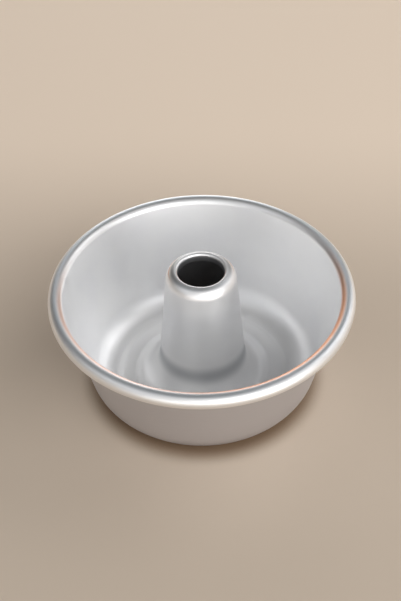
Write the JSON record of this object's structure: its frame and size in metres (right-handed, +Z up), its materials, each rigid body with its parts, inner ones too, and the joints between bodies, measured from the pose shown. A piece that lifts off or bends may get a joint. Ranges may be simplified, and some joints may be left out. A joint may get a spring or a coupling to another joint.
{
  "type": "angel food cake pan",
  "caption": "Deep round cake pan with sloping sides, a rolled rim and a lift-out flat base that carries a tall tapered hollow centre tube.",
  "frame": {"origin": "centre of the ring's underside, on the surface the pan stands on", "axes": "+Z up the centre tube, which is the axis of revolution; the pan is round, so +X and +Y are any two level directions at right angles"},
  "size_m": [0.282, 0.282, 0.1306],
  "materials": {
    "ring_aluminium": "satin anodised, faint spinning rings",
    "plate_aluminium": "satin anodised, faint spinning rings",
    "tube_aluminium": "satin anodised, faint spinning rings"
  },
  "bodies": {
    "pan": {"outer_ring": "ring_aluminium"},
    "insert": {"base_plate": "plate_aluminium", "centre_tube": "tube_aluminium"}
  },
  "joints": [
    {"name": "insert_lift", "type": "slide", "parent": "pan", "child": "insert", "axis": [0, 0, 1], "range_m": [0, 0.12]}
  ]
}
